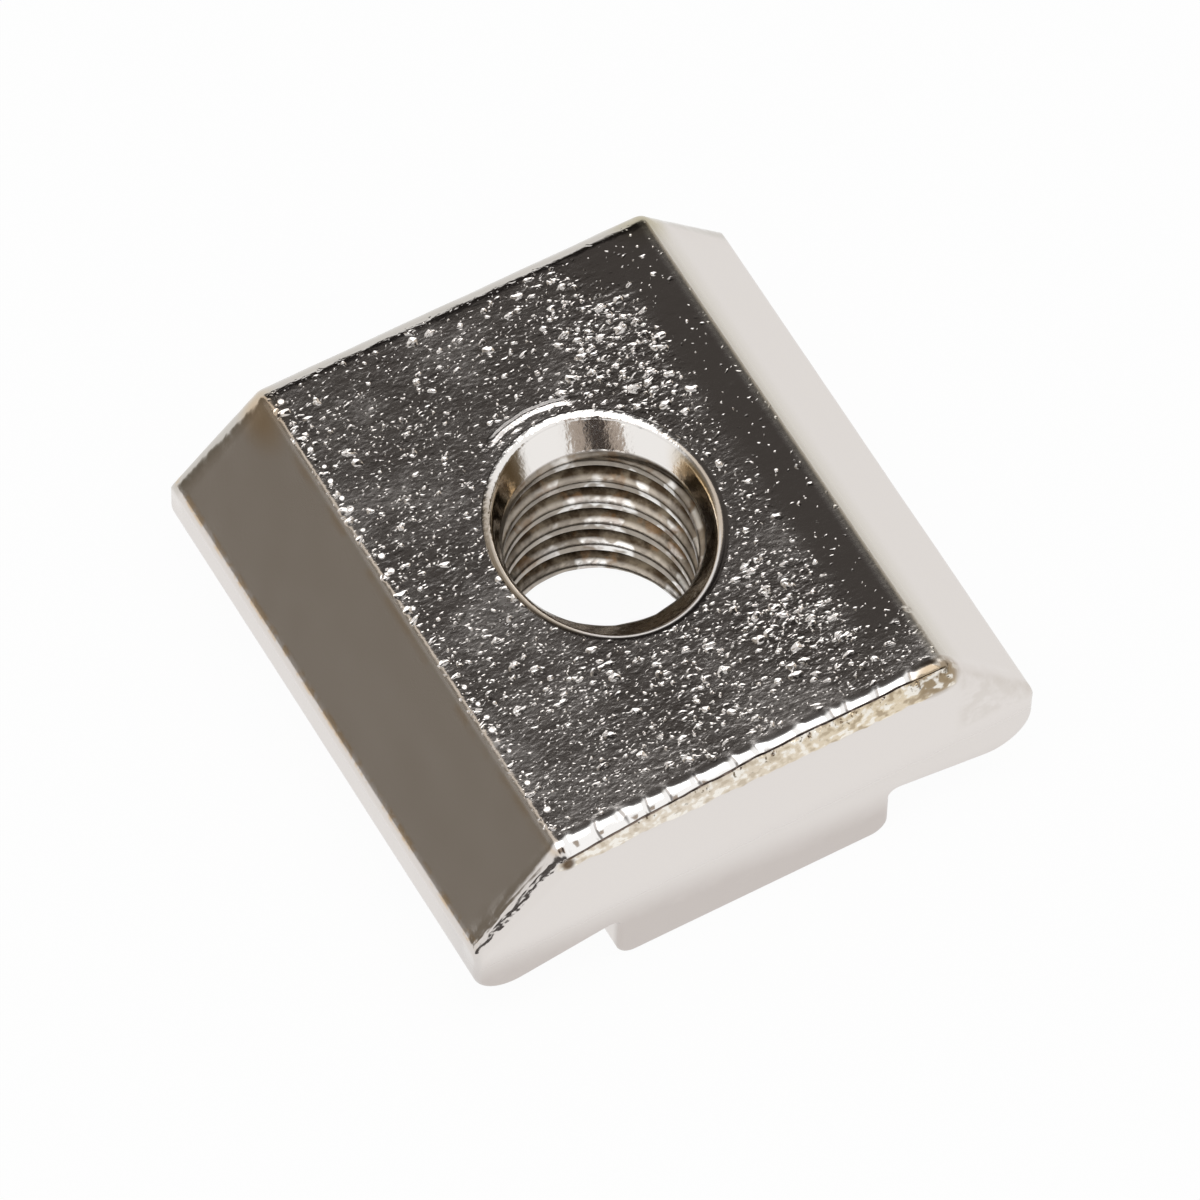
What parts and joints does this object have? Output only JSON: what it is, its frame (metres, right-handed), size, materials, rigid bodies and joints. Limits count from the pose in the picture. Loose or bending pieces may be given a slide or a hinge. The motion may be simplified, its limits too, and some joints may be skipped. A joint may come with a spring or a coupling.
{
  "type": "t slot nut",
  "caption": "Slide-in nut for a T slot: a nickel-plated steel block with a narrow tongue, sloping flanks and a countersunk tapped hole.",
  "frame": {"origin": "centre of the bore on the face of the tongue, where the nut stands when its tongue is down", "axes": "+X across the slot, +Y along the slot, +Z from the tongue's face up to the flat top"},
  "size_m": [0.016, 0.016, 0.0062],
  "materials": {
    "nickel_plate": "bright nickel plating on steel, mirror-like with small bumps on the flat top and satin on the slopes, browned at the edges and in the thread"
  },
  "bodies": {
    "root": {"nut_body": "nickel_plate"}
  },
  "joints": []
}
